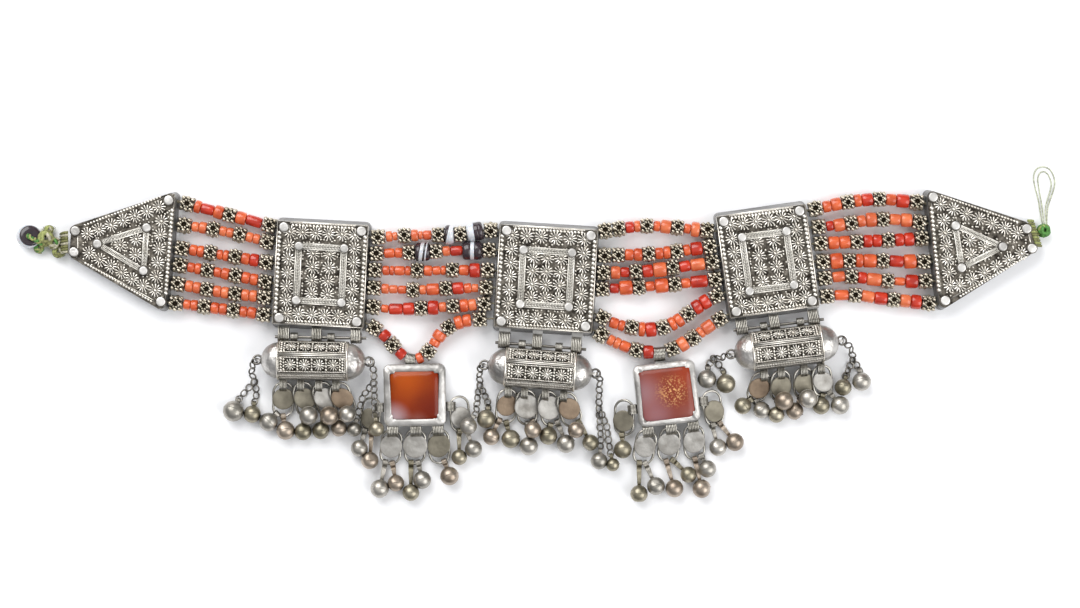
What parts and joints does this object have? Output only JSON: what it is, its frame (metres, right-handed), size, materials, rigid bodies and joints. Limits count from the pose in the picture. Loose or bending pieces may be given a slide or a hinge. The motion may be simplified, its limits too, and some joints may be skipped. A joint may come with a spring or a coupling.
{
  "type": "necklace",
  "caption": "silver necklace of three boxes, three drum pendants and two square stone pendants on six beaded strands, lying flat",
  "frame": {"origin": "the middle of the middle box's back, on the surface it lies on", "axes": "X to the right along the necklace, Y up along the boxes away from the drums, Z off the surface"},
  "size_m": [0.3957, 0.1277, 0.015],
  "materials": {
    "silver": "worn silver",
    "dark_silver": "tarnished silver",
    "carnelian": "polished",
    "coral": "polished",
    "agate": "polished, banded",
    "cord": "knotted thread",
    "thread": "twisted thread"
  },
  "bodies": {
    "root": {"triangle_left": "silver", "triangle_right": "silver", "box_left": "silver", "box_centre": "silver", "box_right": "silver", "drum_left": "silver", "drum_centre": "silver", "drum_right": "silver", "hinge_wire_left": "dark_silver", "hinge_wire_centre": "dark_silver", "hinge_wire_right": "dark_silver", "setting_left": "silver", "setting_right": "silver", "carnelian_left": "carnelian", "carnelian_right": "carnelian", "threads": "thread", "silver_beads_left": "dark_silver", "silver_beads_right": "dark_silver", "coral_beads_left": "coral", "coral_beads_right": "coral", "agate_beads": "agate", "string_left_1": "coral", "string_left_2": "coral", "string_left_3": "coral", "string_left_4": "coral", "string_left_5": "coral", "string_left_6": "coral", "string_right_1": "coral", "string_right_2": "coral", "string_right_3": "coral", "string_right_4": "coral", "string_right_5": "coral", "string_right_6": "coral", "drops_drum_left": "silver", "drops_drum_centre": "silver", "drops_drum_right": "silver", "drops_setting_left": "silver", "drops_setting_right": "silver", "bells_drum_left": "dark_silver", "bells_drum_centre": "dark_silver", "bells_drum_right": "dark_silver", "bells_setting_left": "dark_silver", "bells_setting_right": "dark_silver", "bells_side_left": "dark_silver", "bells_side_right": "dark_silver", "chains_left": "dark_silver", "chains_centre": "dark_silver", "chains_right": "dark_silver", "toggle_bead": "agate", "toggle_cord": "cord", "loop_knot": "cord", "loop_thread_outer": "thread", "loop_thread_inner": "thread"}
  },
  "joints": []
}
